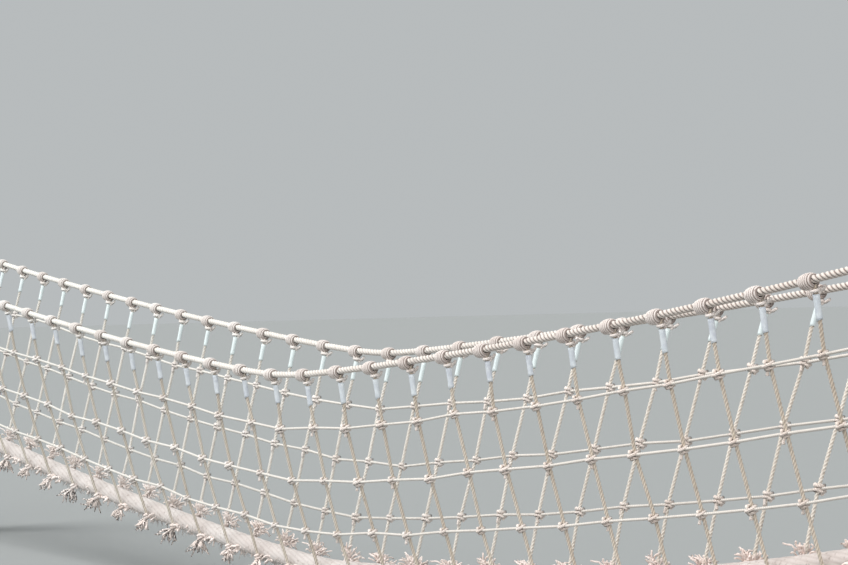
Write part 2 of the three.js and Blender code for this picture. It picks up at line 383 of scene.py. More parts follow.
@dataclass(frozen=True)
class LaidRope:
    """A twisted rope: its size, its strands and how finely it is meshed."""

    radius: float
    lay: float = 0.1
    strands: int = 1
    corners: int = 6
    rings: int = 12
    groove: float = 0.0

    def skin(
        self,
        route: np.ndarray,
        swell: Taper | None = None,
        tint: float = MIDDLE_TINT,
        step: float | None = None,
    ) -> Skin:
        """Sweeps the rope's section along a route, turning it with the lay.

        Args:
            route: Points of the rope's centre line.
            swell: Share of the full radius at even places along the route, or None for all of it.
            tint: Shade of the rope from 0 to 1.
            step: Distance between rings, or None for the one that the lay gives.

        Returns:
            The rope's closed surface.
        """
        points, travelled = even_route(np.asarray(route, float), step or self.lay / self.rings)
        first, second = carried_frames(points)
        count = self.strands * self.corners
        around = np.arange(count) / count
        off_crown = np.abs(2 * ((around * self.strands) % 1.0) - 1) if self.groove else np.zeros(count)
        radii = self.radius * (1 - self.groove * off_crown**CROWN_ROUNDNESS)
        angles = 2 * math.pi * (around[None, :] + travelled[:, None] / self.lay)
        ring = np.cos(angles)[..., None] * first[:, None] + np.sin(angles)[..., None] * second[:, None]
        sizes = np.ones(len(points))
        if swell is not None:
            sizes = np.interp(np.linspace(0, 1, len(points)), np.linspace(0, 1, len(swell)), swell)
        surface = points[:, None] + ring * radii[None, :, None] * sizes[:, None, None]
        # The crevice mark grows from 0 on a strand's crown to 1 in its groove, where the finish paints
        # shade.
        return Skin(
            surface.reshape(-1, 3),
            *self._faces(len(points), count, travelled),
            np.tile(off_crown**CREVICE_SHARPNESS, len(points)),
            np.full(len(points) * count, tint),
        )

    @staticmethod
    def _faces(rings: int, count: int, travelled: np.ndarray) -> tuple[list[np.ndarray], list[np.ndarray]]:
        """Joins rings of corners with faces and closes both ends.

        Args:
            rings: How many rings there are.
            count: Corners of one ring.
            travelled: How far along the rope each ring lies.

        Returns:
            Blocks of faces, and the UV place of each of their corners.
        """
        row, column = np.meshgrid(np.arange(rings - 1), np.arange(count), indexing="ij")
        following = (column + 1) % count
        sides = np.stack(
            [row * count + column, row * count + following,
             (row + 1) * count + following, (row + 1) * count + column],
            axis=-1,
        ).reshape(-1, 4)
        u = np.stack([column, column + 1, column + 1, column], axis=-1) / count
        v = np.stack([travelled[row], travelled[row], travelled[row + 1], travelled[row + 1]], axis=-1)
        side_uv = np.stack([u, v], axis=-1).reshape(-1, 4, 2)
        start_cap = np.arange(count)[None, ::-1]
        end_cap = (rings - 1) * count + np.arange(count)[None, :]
        cap_uv = np.zeros((1, count, 2))
        return [sides, start_cap, end_cap], [side_uv, cap_uv, cap_uv + travelled[-1]]


@dataclass(frozen=True)
class Coil:
    """Turns of cord round the X axis, centred on the origin."""

    radius: float
    pitch: float
    turns: float
    start: float = 0.0
    per_turn: int = 12

    def points(self) -> np.ndarray:
        """Follows the cord.

        Returns:
            Points of its centre line, the first at the start angle from +Y towards +Z.
        """
        share = np.linspace(0, 1, int(round(self.turns * self.per_turn)) + 1)
        angle = self.start + 2 * math.pi * self.turns * share
        x = self.pitch * self.turns * (share - 0.5)
        return np.stack([x, self.radius * np.cos(angle), self.radius * np.sin(angle)], axis=1)


# Shader nodes


class Value:
    """A shader socket that can stand in sums."""

    def __init__(self, paint: "Paint", socket: bpy.types.NodeSocket) -> None:
        """Keeps the socket and the material that it belongs to."""
        self.paint = paint
        self.socket = socket

    def _math(self, operation: str, *terms: "Value | float") -> "Value":
        """Adds one Math node with its inputs in order."""
        inputs = {i: term for i, term in enumerate(terms)}
        return self.paint.node("ShaderNodeMath", {"operation": operation}, inputs)

    def __add__(self, other: "Value | float") -> "Value":
        """The sum."""
        return self._math("ADD", self, other)

    __radd__ = __add__

    def __sub__(self, other: "Value | float") -> "Value":
        """The difference."""
        return self._math("SUBTRACT", self, other)

    def __rsub__(self, other: float) -> "Value":
        """The difference from a number."""
        return self._math("SUBTRACT", other, self)

    def __mul__(self, other: "Value | float") -> "Value":
        """The product."""
        return self._math("MULTIPLY", self, other)

    __rmul__ = __mul__

    def __pow__(self, other: float) -> "Value":
        """The power."""
        return self._math("POWER", self, other)

    def sine(self) -> "Value":
        """The sine, moved to lie between 0 and 1."""
        return self._math("SINE", self) * 0.5 + 0.5

    def size(self) -> "Value":
        """The value without its sign."""
        return self._math("ABSOLUTE", self)

    def ramp(self, low: float, high: float) -> "Value":
        """Stretches the values from low to high smoothly to 0 and 1."""
        inputs = {"Value": self, "From Min": low, "From Max": high}
        return self.paint.node("ShaderNodeMapRange", {"interpolation_type": "SMOOTHSTEP"}, inputs)


class Paint:
    """A material and the nodes in it."""

    def __init__(self, name: str) -> None:
        """Starts an empty material.

        Args:
            name: The material's name.
        """
        self.material = bpy.data.materials.new(name)
        self.material.use_nodes = True
        self.tree = self.material.node_tree
        self.tree.nodes.clear()

    def node(
        self,
        kind: str,
        settings: dict[str, object] | None = None,
        inputs: dict[str | int, object] | None = None,
        output: str | int = 0,
    ) -> Value:
        """Adds a node.

        Args:
            kind: The node's type.
            settings: Its properties, which are set first.
            inputs: Values or links of its sockets, by name or number.
            output: Name or number of the socket that is wanted.

        Returns:
            That socket.
        """
        made = self.tree.nodes.new(kind)
        for name, setting in (settings or {}).items():
            setattr(made, name, setting)
        for name, given in (inputs or {}).items():
            socket = made.inputs[name]
            if isinstance(given, Value):
                self.tree.links.new(given.socket, socket)
            elif socket.type == "RGBA":
                socket.default_value = (*given[:3], 1.0)
            else:
                socket.default_value = given
        return Value(self, made.outputs[output] if made.outputs else None)

    def place(self) -> Value:
        """The point on the object, in metres."""
        return self.node("ShaderNodeTexCoord", output="Object")

    def part_of(self, vector: Value, axis: int) -> Value:
        """One number of a vector."""
        return self.node("ShaderNodeSeparateXYZ", inputs={0: vector}, output=axis)

    def point(self, x: Value | float, y: Value | float, z: Value | float = 0.0) -> Value:
        """A vector from three numbers."""
        return self.node("ShaderNodeCombineXYZ", inputs={0: x, 1: y, 2: z})

    def mark(self, name: str) -> Value:
        """An attribute of the mesh, as a number."""
        return self.node("ShaderNodeAttribute", {"attribute_name": name}, output="Fac")

    def mapped(self, place: Value, **inputs: tuple[float, ...]) -> Value:
        """Moves or scales the place where a pattern is read."""
        return self.node("ShaderNodeMapping", inputs={"Vector": place, **inputs})

    def noise(self, place: Value, scale: float, detail: float = 3.0) -> Value:
        """A cloudy value around a half, of a fineness and a number of finer clouds."""
        return self.node("ShaderNodeTexNoise", inputs={"Vector": place, "Scale": scale, "Detail": detail})

    def blend(self, share: Value, first: Value | Colour, second: Value | Colour, mode: str = "MIX") -> Value:
        """Mixes a share of the second colour into the first."""
        settings = {"data_type": "RGBA", "blend_type": mode, "clamp_factor": True}
        return self.node("ShaderNodeMix", settings, {0: share, 6: first, 7: second}, output=2)

    def bump(self, height: Value, distance: float, strength: float, under: Value | None = None) -> Value:
        """Turns a height into a normal.

        Args:
            height: The height from 0 to 1.
            distance: How many metres a height of 1 stands for.
            strength: How much of it shows.
            under: The normal of a coarser bump, if there is one.

        Returns:
            The normal.
        """
        inputs: dict[str | int, object] = {"Height": height, "Distance": distance, "Strength": strength}
        if under is not None:
            inputs["Normal"] = under
        return self.node("ShaderNodeBump", inputs=inputs)

    def surface(self, **inputs: object) -> bpy.types.Material:
        """Finishes the material with one principled shader.

        Args:
            inputs: The shader's sockets, with an underscore for each space.

        Returns:
            The material.
        """
        named = {name.replace("_", " "): given for name, given in inputs.items()}
        shader = self.node("ShaderNodeBsdfPrincipled", inputs=named)
        self.node("ShaderNodeOutputMaterial", inputs={"Surface": shader})
        return self.material


# Finishes

RAIL_LAY = 0.0924
FOOT_LAY = 1.3
HANGER_LAY = 0.054
LINE_LAY = 0.042
TURN_LAY = 0.052
CORD_LAY = 0.04
YARN_LAY = 0.03


@dataclass(frozen=True)
class RopeFinish:
    """Weathered laid fibre: a patchy pale and worn colour, dark spots and fine yarns, with painted shade
    in the grooves between the strands and between the yarns.

    The grooves of a rope without drawn strands are in its mesh. Towards the right end the colour
    is multiplied by warm_end, and the painted shade in the grooves may be weaker towards the left.
    """

    name: str
    pale: Colour
    worn: Colour
    groove: Colour
    yarns: float
    lay: float
    warm_end: Colour
    drawn_strands: int = 0
    groove_depth: float = 0.6
    left_groove_depth: float | None = None
    yarn_height: float = 0.0006
    spotting: float = 0.35

    def make(self) -> bpy.types.Material:
        """Builds the material.

        Returns:
            The material, which reads the mesh's rope UV map and its crevice and tint marks.
        """
        paint = Paint(self.name)
        uv = paint.node("ShaderNodeUVMap", {"uv_map": "rope"})
        around = paint.part_of(uv, 0)
        along = paint.part_of(uv, 1)
        place = paint.place()
        crevice = paint.mark("crevice")
        straight = around + along * (1 / self.lay)
        yarn = (straight * (2 * math.pi * self.yarns)).sine()
        fibre_place = paint.point(straight * 6.0, along * 9.0)
        fibre = paint.noise(fibre_place, scale=9.0, detail=4.0)
        cloud = paint.noise(place, scale=4.5)
        spots = paint.noise(place, scale=55.0, detail=2.0).ramp(0.55, 0.75)
        # Drawn strands add painted shade in the valleys between them to the crevice mark.
        if self.drawn_strands:
            turns = around * float(self.drawn_strands) - along * (self.drawn_strands / self.lay)
            drawn = (turns * (2 * math.pi)).sine()
            crevice = (1 - drawn) ** 3.0 * 0.9 + crevice
        wear = (cloud * 0.8 + paint.mark("tint") * 0.5 + fibre * 0.5 - 0.4).ramp(0.1, 0.9)
        colour = paint.blend(wear, self.worn, self.pale)
        colour = paint.blend(spots * self.spotting, colour, self.groove)
        # Painted shade: the groove colour darkens the crevices between strands and, more weakly, the valleys
        # between yarns.
        colour = paint.blend(crevice * self._depth(paint, place), colour, self.groove)
        colour = paint.blend((1 - yarn) ** 2.0 * 0.22, colour, self.groove)
        rightness = paint.part_of(place, 0).ramp(-4.0, 4.5)
        warmed = paint.blend(rightness, colour, self.warm_end, "MULTIPLY")
        normal = paint.bump(yarn * 0.7 + fibre * 0.6, self.yarn_height, 0.8)
        if self.drawn_strands:
            normal = paint.bump(1 - crevice, 0.0016, 0.9, normal)
        normal = paint.bump(paint.noise(fibre_place, scale=40.0, detail=2.0), 0.0003, 0.6, normal)
        return paint.surface(
            Base_Color=warmed, Roughness=0.92, Normal=normal, Sheen_Weight=0.25, Sheen_Roughness=0.6
        )

    def _depth(self, paint: Paint, place: Value) -> Value | float:
        """Finds how much of the painted shade in the grooves shows.

        Args:
            paint: The material.
            place: The point on the object.

        Returns:
            The share, the same all along the bridge or growing towards the right.
        """
        if self.left_groove_depth is None:
            return self.groove_depth
        rightness = paint.part_of(place, 0).ramp(-1.0, 3.0)
        return rightness * (self.groove_depth - self.left_groove_depth) + self.left_groove_depth


# The third colour of each rope finish is painted shade in its grooves, and also the colour of its dark
# spots.
RAIL_FIBRE = RopeFinish(
    "handrail_fibre", (0.80, 0.80, 0.75), (0.70, 0.66, 0.60), (0.16, 0.11, 0.09), 21, RAIL_LAY,
    warm_end=(0.99, 0.91, 0.89), groove_depth=1.15, left_groove_depth=0.25,
)
FOOT_FIBRE = RopeFinish(
    "foot_rope_fibre", (0.79, 0.75, 0.72), (0.63, 0.56, 0.52), (0.36, 0.28, 0.24), 60, FOOT_LAY,
    warm_end=(0.97, 0.93, 0.92), groove_depth=0.3, yarn_height=0.002, spotting=0.75,
)
# The front hangers get a darker copy of the fibre as painted shade, and the back hangers get a paler copy as
# painted light.
HANGER_FIBRES = {
    Side.FRONT: RopeFinish(
        "front_hanger_fibre_painted_shade", (0.80, 0.75, 0.66), (0.66, 0.60, 0.51), (0.26, 0.21, 0.17), 15, HANGER_LAY,
        warm_end=(1.0, 0.93, 0.88),
    ),
    Side.BACK: RopeFinish(
        "back_hanger_fibre_painted_light", (0.90, 0.88, 0.82), (0.79, 0.76, 0.69), (0.32, 0.26, 0.22), 15, HANGER_LAY,
        warm_end=(1.0, 0.94, 0.90),
    ),
}
LINE_FIBRE = RopeFinish(
    "line_fibre", (0.80, 0.80, 0.75), (0.72, 0.70, 0.64), (0.34, 0.28, 0.23), 12, LINE_LAY,
    warm_end=(1.0, 0.95, 0.94),
)
HITCH_FIBRE = RopeFinish(
    "hitch_fibre", (0.90, 0.87, 0.83), (0.74, 0.68, 0.63), (0.20, 0.15, 0.13), 12, TURN_LAY,
    warm_end=(0.98, 0.93, 0.92), groove_depth=1.0, spotting=0.5,
)
KNOT_FIBRE = RopeFinish(
    "knot_fibre", (0.94, 0.90, 0.86), (0.82, 0.76, 0.71), (0.32, 0.25, 0.22), 12, CORD_LAY,
    warm_end=(0.95, 0.88, 0.84), drawn_strands=3,
)
TUFT_FIBRE = RopeFinish(
    "tuft_fibre", (0.95, 0.88, 0.84), (0.81, 0.71, 0.65), (0.46, 0.36, 0.31), 6, YARN_LAY,
    warm_end=(1.0, 0.93, 0.91),
)


@dataclass(frozen=True)
class SleeveFinish:
    """Cloudy pale plastic tube, scuffed and here and there bleached."""

    name: str = "sleeve_plastic"
    clean: Colour = (0.57, 0.60, 0.66)
    cloudy: Colour = (0.69, 0.72, 0.76)
    bleached: Colour = (0.72, 0.80, 0.79)
    dirt: Colour = (0.42, 0.40, 0.36)

    def make(self) -> bpy.types.Material:
        """Builds the material.

        Returns:
            The material, bleached by the mesh's tint mark.
        """
        paint = Paint(self.name)
        place = paint.place()
        cloud = paint.noise(place, scale=38.0)
        scuffs = paint.noise(paint.mapped(place, Scale=(1, 1, 0.15)), scale=260.0)
        colour = paint.blend(cloud.ramp(0.35, 0.65), self.clean, self.cloudy)
        colour = paint.blend(paint.mark("tint"), colour, self.bleached)
        colour = paint.blend(scuffs.ramp(0.6, 0.75) * 0.35, colour, self.dirt)
        normal = paint.bump(cloud * 0.7 + scuffs * 0.3, 0.0008, 0.5)
        return paint.surface(Base_Color=colour, Roughness=cloud * 0.25 + 0.32, Normal=normal)


@dataclass(frozen=True)
class TimberFinish:
    """Weathered round timber: grain, knots and drying cracks along the log, dirt at its foot."""

    name: str
    grain: Grain
    pale: Colour = (0.40, 0.31, 0.22)
    dark: Colour = (0.17, 0.12, 0.08)
    grey: Colour = (0.42, 0.39, 0.35)
    crack: Colour = (0.035, 0.025, 0.018)
    foot_dirt: Colour = (0.13, 0.10, 0.07)
    dirt_height: float = 0.16

    def make(self) -> bpy.types.Material:
        """Builds the material.

        Returns:
            The material.
        """
        paint = Paint(self.name)
        place = paint.place()
        along = self._drawn_out(paint, place, 0.06)
        fibres = paint.noise(along, scale=160.0, detail=4.0)
        bands = paint.noise(along, scale=34.0)
        cloud = paint.noise(place, scale=5.0)
        seams = paint.noise(self._drawn_out(paint, place, 0.02), scale=46.0, detail=2.0)
        cracks = (seams - 0.5).size().ramp(0.012, 0.0)
        cracks = cracks * paint.noise(place, scale=7.0, detail=1.0).ramp(0.46, 0.58)
        knots = paint.node(
            "ShaderNodeTexVoronoi", {"feature": "F1"}, {"Vector": place, "Scale": 3.6, "Randomness": 1.0}
        )
        colour = paint.blend(bands.ramp(0.3, 0.7), self.dark, self.pale)
        colour = paint.blend(cloud.ramp(0.4, 0.7) * 0.75, colour, self.grey)
        colour = paint.blend(fibres.ramp(0.5, 0.8) * 0.45, colour, self.dark)
        colour = paint.blend(knots.ramp(0.11, 0.05) * 0.8, colour, self.dark)
        lowness = paint.part_of(place, 2).ramp(self.dirt_height, 0.0)
        colour = paint.blend(lowness * 0.7, colour, self.foot_dirt)
        colour = paint.blend(cracks, colour, self.crack)
        normal = paint.bump(fibres * 0.6 + bands * 0.4 - cracks * 1.5, 0.002, 0.8)
        return paint.surface(Base_Color=colour, Roughness=0.88 - bands * 0.15, Normal=normal)

    def _drawn_out(self, paint: Paint, place: Value, share: float) -> Value:
        """Draws a pattern out along the grain.

        Args:
            paint: The material.
            place: Where the pattern is read.
            share: The pattern's fineness along the grain, as a share of that across it.

        Returns:
            The place to read it at.
        """
        scale = [1.0, 1.0, 1.0]
        scale[self.grain.value] = share
        return paint.mapped(place, Scale=tuple(scale))


@dataclass(frozen=True)
class EndGrainFinish:
    """The sawn end of a log: rings and radial cracks round its heart."""

    name: str
    centre: tuple[float, float, float]
    grain: Grain
    pale: Colour = (0.47, 0.37, 0.26)
    dark: Colour = (0.24, 0.17, 0.11)
    crack: Colour = (0.05, 0.035, 0.025)
    ring_width: float = 0.0055

    def make(self) -> bpy.types.Material:
        """Builds the material.

        Returns:
            The material.
        """
        paint = Paint(self.name)
        local = paint.mapped(paint.place(), Location=tuple(-c for c in self.centre))
        across = [axis for axis in range(3) if axis != self.grain.value]
        first, second = (paint.part_of(local, axis) for axis in across)
        wobble = paint.noise(local, scale=18.0, detail=2.0)
        distance = (first**2.0 + second**2.0) ** 0.5 + wobble * 0.012
        rings = (distance * (2 * math.pi / self.ring_width)).sine()
        bearing = paint.node("ShaderNodeMath", {"operation": "ARCTAN2"}, {0: second, 1: first})
        rays = paint.noise(paint.point(bearing * 3.0, distance * 4.0), scale=3.0, detail=2.0)
        cracks = (rays - 0.5).size().ramp(0.016, 0.0)
        colour = paint.blend(rings * 0.6, self.pale, self.dark)
        colour = paint.blend(cracks * 0.85, colour, self.crack)
        normal = paint.bump(rings * 0.3 - cracks, 0.0015, 0.6)
        return paint.surface(Base_Color=colour, Roughness=0.9, Normal=normal)


@dataclass(frozen=True)
class FloorFinish:
    """Plain pale studio floor."""

    name: str = "studio_floor"
    colour: Colour = (0.262, 0.273, 0.27)

    def make(self) -> bpy.types.Material:
        """Builds the material."""
        return Paint(self.name).surface(Base_Color=self.colour, Roughness=0.95)


# Sub-assemblies


def dress(piece: bpy.types.Object, material: bpy.types.Material, nodes: list[str]) -> None:
    """Gives a piece its finish and its place in the frame.

    Args:
        piece: The finished piece.
        material: Its material.
        nodes: The CAD nodes that it stands for.
    """
    piece.data.materials.clear()
    piece.data.materials.append(material)
    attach(piece, ROOT)
    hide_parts(*nodes)
    LOG.info("%s: %d triangles", piece.name, sum(len(p.vertices) - 2 for p in piece.data.polygons))


def round_post(
    last: np.ndarray, centre: np.ndarray, radius: float, turns: float, pitch: float, outer: float
) -> np.ndarray:
    """Takes a rope from its last free point to turns round a post.

    Args:
        last: The last free point of the rope.
        centre: Middle of the turns on the post's axis.
        radius: From the post's axis to the centre of the rope.
        turns: How many turns it takes.
        pitch: Height from one turn to the next.
        outer: Sign of the side of the post, across the bridge, where the rope meets it.

    Returns:
        Points of the turns.
    """
    points_per_turn = 28
    to_last = last[:2] - centre[:2]
    bearing = math.atan2(to_last[1], to_last[0])
    end = -math.copysign(1, to_last[0])
    lean = math.acos(radius / np.linalg.norm(to_last))
    start = bearing - end * outer * lean
    share = np.linspace(0, 1, int(turns * points_per_turn))
    angle = start - end * outer * 2 * math.pi * turns * share
    height = centre[2] + pitch * turns * (0.5 - share)
    ring = [centre[0] + radius * np.cos(angle), centre[1] + radius * np.sin(angle), height]
    return np.stack(ring, axis=1)


def tied_to_posts(
    free: np.ndarray, side: Side, radius: float, turns: float, pitch: float, drop: float = 0.0
) -> np.ndarray:
    """Adds the turns round both posts to a rope's free stretch.

    Args:
        free: Points of the free stretch from left to right.
        side: The side of the walkway.
        radius: The rope's radius.
        turns: How many turns it takes round each post.
        pitch: Height from one turn to the next.
        drop: How far below the handrail the turns lie.

    Returns:
        Points of the whole rope.
    """
    ends = []
    for end, last in ((End.LEFT, free[0]), (End.RIGHT, free[-1])):
        centre = SPAN.rail(end.value * SPAN.half, side)
        centre[2] -= drop
        ends.append(round_post(last, centre, POST_RADIUS + radius, turns, pitch, side.value))
    return np.concatenate([ends[0][::-1], free, ends[1]])


@dataclass
class Handrail:
    """One handrail: a three-strand rope with turns round the post at each end."""

    side: Side
    rope: LaidRope = LaidRope(radius=0.0163, lay=RAIL_LAY, strands=3, corners=6, rings=11, groove=0.27)
    turns: float = 3.0
    free_points: int = 400

    def route(self) -> np.ndarray:
        """Follows the rope from the turns on the left post to those on the right.

        Returns:
            Points of its centre line.
        """
        reach = SPAN.hitch_places(self.side)
        free = SPAN.rail(np.linspace(reach[0], reach[-1], self.free_points), self.side)
        return tied_to_posts(free, self.side, self.rope.radius, self.turns, 2 * self.rope.radius)

    def build(self, material: bpy.types.Material) -> None:
        """Makes the handrail.

        Args:
            material: Its material.
        """
        name = f"{self.side.word}_handrail"
        piece = self.rope.skin(self.route()).build(f"{name}_rope")
        dress(piece, material, [name])


@dataclass
class FootRope:
    """The thick foot rope: an eye round the sill log at each end, and worn fibres all along it."""

    rope: LaidRope = LaidRope(radius=0.0485, lay=FOOT_LAY, strands=13, corners=3, rings=60, groove=0.035)
    splice: LaidRope = LaidRope(radius=0.06, lay=FOOT_LAY, strands=13, corners=3, rings=60, groove=0.05)
    splice_start: float = 0.06
    splice_end: float = 0.36
    splice_taper: Taper = (0.95, 1.0, 0.97, 0.9, 0.83)
    splice_points: int = 20
    free_points: int = 500
    eye_points: int = 30
    eye_radius: float = 0.122
    eye_end: float = -math.pi * 0.62
    fibre: LaidRope = LaidRope(radius=0.002, lay=0.05, corners=3)
    fibre_taper: Taper = (1.2, 1.0, 0.4)
    fibres: int = 2400
    fibre_angle: float = 1.5
    fibre_depth: float = 0.93
    fibre_slant: float = 0.7
    fibre_droop: float = 0.3
    fibre_lengths: Range = (0.01, 0.034)
    fibre_low_size: float = 1.2
    fibre_shrinking: float = 0.5
    fibre_sway: float = 0.006
    fibre_bend: float = 0.004
    fibre_shades: Range = (0.2, 0.9)
    seed: int = 5

    def route(self) -> np.ndarray:
        """Follows the rope from eye to eye.

        Returns:
            Points of its centre line.
        """
        free = SPAN.foot(np.linspace(-SILL_X, SILL_X, self.free_points))
        angle = np.linspace(math.pi / 2, self.eye_end, self.eye_points)[1:]
        x = SILL_X + self.eye_radius * np.cos(angle)
        z = SILL_Z + self.eye_radius * np.sin(angle)
        right = np.stack([x, np.zeros_like(x), z], axis=1)
        left = right[::-1] * (-1, 1, 1)
        return np.concatenate([left, free, right])

    def splices(self) -> list[Skin]:
        """Makes the thicker stretches where the eyes' strands are tucked back into the rope.

        Returns:
            A stretch for each end.
        """
        skins = []
        for end in End:
            start, finish = SILL_X - self.splice_start, SILL_X - self.splice_end
            places = end.value * np.linspace(start, finish, self.splice_points)
            skins.append(self.splice.skin(SPAN.foot(places), self.splice_taper))
        return skins

    def fringe(self) -> list[Skin]:
        """Makes the short broken fibres that hang from the rope's lower half.

        Returns:
            The fibres.
        """
        rng = np.random.default_rng(self.seed)
        skins = []
        for _ in range(self.fibres):
            x = rng.uniform(-SPAN.half, SPAN.half)
            angle = rng.uniform(-1.0, 1.0) * self.fibre_angle
            below = np.array([0, math.sin(angle), -math.cos(angle)])
            root = SPAN.foot(x) + self.rope.radius * self.fibre_depth * below
            out = np.array([rng.normal(0, self.fibre_slant), below[1], below[2] - self.fibre_droop])
            size = self.fibre_low_size - self.fibre_shrinking * abs(angle)
            length = rng.uniform(*self.fibre_lengths) * size
            sway_along, sway_across = rng.normal(0, self.fibre_sway, 2)
            tip = root + unit(out) * length + (sway_along, sway_across, -self.fibre_droop * length)
            middle = (root + tip) / 2 + rng.normal(0, self.fibre_bend, 3)
            route = np.stack([root, middle, tip])
            shade = rng.uniform(*self.fibre_shades)
            skins.append(self.fibre.skin(route, self.fibre_taper, shade, length / 3))
        return skins

    def build(self, material: bpy.types.Material, fringe_material: bpy.types.Material) -> None:
        """Makes the foot rope and its fringe.

        Args:
            material: Material of the rope.
            fringe_material: Material of the broken fibres.
        """
        strands = Skin.joined([self.rope.skin(self.route()), *self.splices()])
        dress(strands.build("foot_rope_strands"), material, ["foot_rope"])
        fringe = Skin.joined(self.fringe())
        dress(fringe.build("foot_rope_fringe"), fringe_material, ["foot_rope"])


@dataclass(frozen=True)
class Tuft:
    """An unlaid rope end: loose yarns that spread from one root."""

    yarns: int = 26
    length: float = 0.075
    spread: float = 0.75
    root_radius: float = 0.017
    curl: float = 0.12
    yarn: LaidRope = LaidRope(radius=0.005, lay=YARN_LAY, corners=4)
    taper: Taper = (1.0, 0.95, 1.05, 1.1, 0.85)
    yarn_sizes: Range = (0.55, 1.05)
    middle_share: float = 0.45

    def skin(self, rng: np.random.Generator) -> Skin:
        """Makes one tuft that hangs down from the origin.

        Args:
            rng: Seeded source of its irregularities.

        Returns:
            The tuft.
        """
        skins = []
        for _ in range(self.yarns):
            bearing = rng.uniform(0, 2 * math.pi)
            away = np.array([math.cos(bearing), math.sin(bearing), 0.0])
            lean = self.spread * math.sqrt(rng.uniform())
            length = self.length * rng.uniform(*self.yarn_sizes)
            root = away * self.root_radius * rng.uniform()
            half_way = away * math.sin(lean) * self.middle_share - np.array([0, 0, self.middle_share])
            middle = root + half_way * length
            tip = root + (away * math.sin(lean) - np.array([0, 0, math.cos(lean)])) * length
            bend = rng.normal(0, self.curl, (2, 3)) * length
            route = smooth_route([root, middle + bend[0], tip + bend[1]], 3)
            skins.append(self.yarn.skin(route, self.taper, rng.uniform(), length / 5))
        return Skin.joined(skins)


@dataclass(frozen=True)
class Sleeve:
    """A plastic tube round the top of a hanger, its lower end cut at a slant."""

    top_radius: float = 0.014
    low_radius: float = 0.0128
    length: float = 0.112
    wall: float = 0.0014
    slant: float = 0.45
    rings: tuple[float, ...] = (0.12, 0.35, 0.6, 0.8)
    low_cut: float = 0.93
    narrowing: float = 1.6
    waves: float = 17
    wave_size: float = 0.04
    squeezes: float = 9
    widened: float = 0.06
    flattened: float = 0.08

    def skin(self) -> Skin:
        """Models one sleeve that hangs down from the origin.

        Returns:
            The sleeve.
        """
        bpy.ops.object.select_all(action="DESELECT")
        bpy.ops.mesh.primitive_cylinder_add(
            vertices=16, radius=self.top_radius, depth=self.length,
            end_fill_type="NOTHING", location=(0, 0, -self.length / 2),
        )
        tube = bpy.context.object
        bpy.ops.object.transform_apply(location=True)
        bpy.ops.object.mode_set(mode="EDIT")
        for share in self.rings:
            bpy.ops.mesh.select_all(action="SELECT")
            bpy.ops.mesh.bisect(plane_co=(0, 0, -self.length * share), plane_no=(0, 0, 1))
        bpy.ops.mesh.select_all(action="SELECT")
        low = (0, 0, -self.length * self.low_cut)
        bpy.ops.mesh.bisect(plane_co=low, plane_no=(self.slant, 0, -1), clear_outer=True)
        bpy.ops.object.mode_set(mode="OBJECT")
        growth = self.low_radius / self.top_radius - 1
        for vertex in tube.data.vertices:
            share = -vertex.co.z / self.length
            wave = self.wave_size * math.sin(share * self.waves)
            size = 1 + growth * min(1.0, share * self.narrowing) + wave
            squeeze = math.sin(share * self.squeezes)
            vertex.co.x *= size * (1 + self.widened * squeeze)
            vertex.co.y *= size * (1 - self.flattened * squeeze)
        wall = tube.modifiers.new("wall", "SOLIDIFY")
        wall.thickness = self.wall
        wall.offset = -1
        bpy.ops.object.modifier_apply(modifier=wall.name)
        return Skin.of_object(tube)


@dataclass(frozen=True)
class Hitch:
    """Close turns of cord that tie a hanger to the handrail, with the rail along X."""

    turns: Coil = Coil(radius=0.027, pitch=0.0132, turns=5.8, start=-math.pi * 0.1, per_turn=16)
    cord: LaidRope = LaidRope(radius=0.0064, lay=1.0, corners=8)
    step: float = 0.0095
    girth_places: Taper = (0, 0.15, 0.4, 0.75, 1)
    girths: Taper = (0.82, 0.94, 1.02, 1.02, 0.82)

    def skin(self) -> Skin:
        """Makes the hitch.

        Returns:
            The hitch, marked for painted shade between its turns.
        """
        turns = self.turns.points()
        share = np.linspace(0, 1, len(turns))
        turns[:, 1:] *= np.interp(share, self.girth_places, self.girths)[:, None]
        skin = self.cord.skin(turns, step=self.step)
        corners = self.cord.corners
        # The crevice mark paints shade where each turn meets the next.
        middles = skin.points[:, 0].reshape(-1, corners).mean(axis=1).repeat(corners)
        off_crown = np.abs(skin.points[:, 0] - middles) / self.cord.radius
        skin.crevice = np.clip(off_crown, 0, 1) ** 2
        return skin


@dataclass(frozen=True)
class Collar:
    """Cord under the handrail: turns round the hanger, down from the origin, and their cut end."""

    turns: Coil = Coil(radius=0.0165, pitch=0.0125, turns=1.6, start=0.4)
    cord: LaidRope = LaidRope(radius=0.0072, lay=CORD_LAY, corners=6)
    step: float = 0.0095
    drop: float = 0.043
    tail: tuple[Point, ...] = ((0.004, 0.013, -0.046), (0.024, 0.014, -0.043), (0.05, 0.012, -0.024))
    tail_taper: Taper = (1.0, 1.05, 1.1, 1.05)
    tail_step: float = 0.013

    def skin(self) -> Skin:
        """Makes the collar.

        Returns:
            The collar.
        """
        turns = self.turns.points()
        turns[:, 0] -= self.drop
        upright = turns[:, [1, 2, 0]]
        tail = self.cord.skin(smooth_route(self.tail, 3), self.tail_taper, step=self.tail_step)
        return Skin.joined([self.cord.skin(upright, step=self.step), tail])


